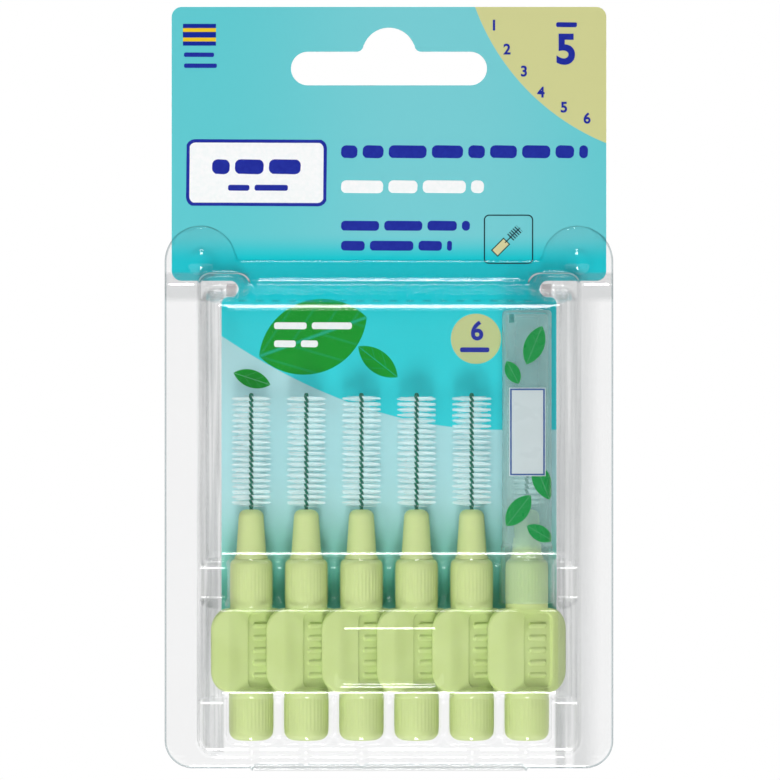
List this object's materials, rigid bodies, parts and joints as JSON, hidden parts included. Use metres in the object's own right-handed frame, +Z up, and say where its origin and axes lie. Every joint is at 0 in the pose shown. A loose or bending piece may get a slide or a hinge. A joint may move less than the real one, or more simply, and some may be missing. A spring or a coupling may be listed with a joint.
{
  "type": "interdental brush retail pack",
  "caption": "Hanging retail pack: slotted carton card, hinged clear clamshell, and a row of shingled twisted-wire brushes with flat grip pads, the last under a travel cap.",
  "frame": {"origin": "middle of the hang slot's arms, on the parting plane of the clamshell", "axes": "+Z up towards the card's top edge, front of the pack facing -Y, +X to the viewer's right"},
  "size_m": [0.08, 0.0128, 0.1364],
  "materials": {
    "printed_card": "printed, satin varnish",
    "clear_sheet": "clear formed sheet, glossy",
    "green_plastic": "satin moulded",
    "green_wire": "coated twisted steel",
    "filament": "translucent filament",
    "cap_plastic": "milky translucent, printed leaves"
  },
  "bodies": {
    "pack": {"hang_card": "printed_card", "back_shell": "clear_sheet", "living_hinge": "clear_sheet", "handle_1": "green_plastic", "handle_2": "green_plastic", "handle_3": "green_plastic", "handle_4": "green_plastic", "handle_5": "green_plastic", "handle_6": "green_plastic", "wire_1": "green_wire", "wire_2": "green_wire", "wire_3": "green_wire", "wire_4": "green_wire", "wire_5": "green_wire", "wire_6": "green_wire", "bristles_1": "filament", "bristles_2": "filament", "bristles_3": "filament", "bristles_4": "filament", "bristles_5": "filament", "bristles_6": "filament", "travel_cap": "cap_plastic"},
    "front_half": {"front_shell": "clear_sheet"}
  },
  "joints": [
    {"name": "lid_hinge", "type": "hinge", "parent": "pack", "child": "front_half", "pos_m": [0, 0, -0.12495], "axis": [1, 0, 0], "range_deg": [0, 180]}
  ]
}
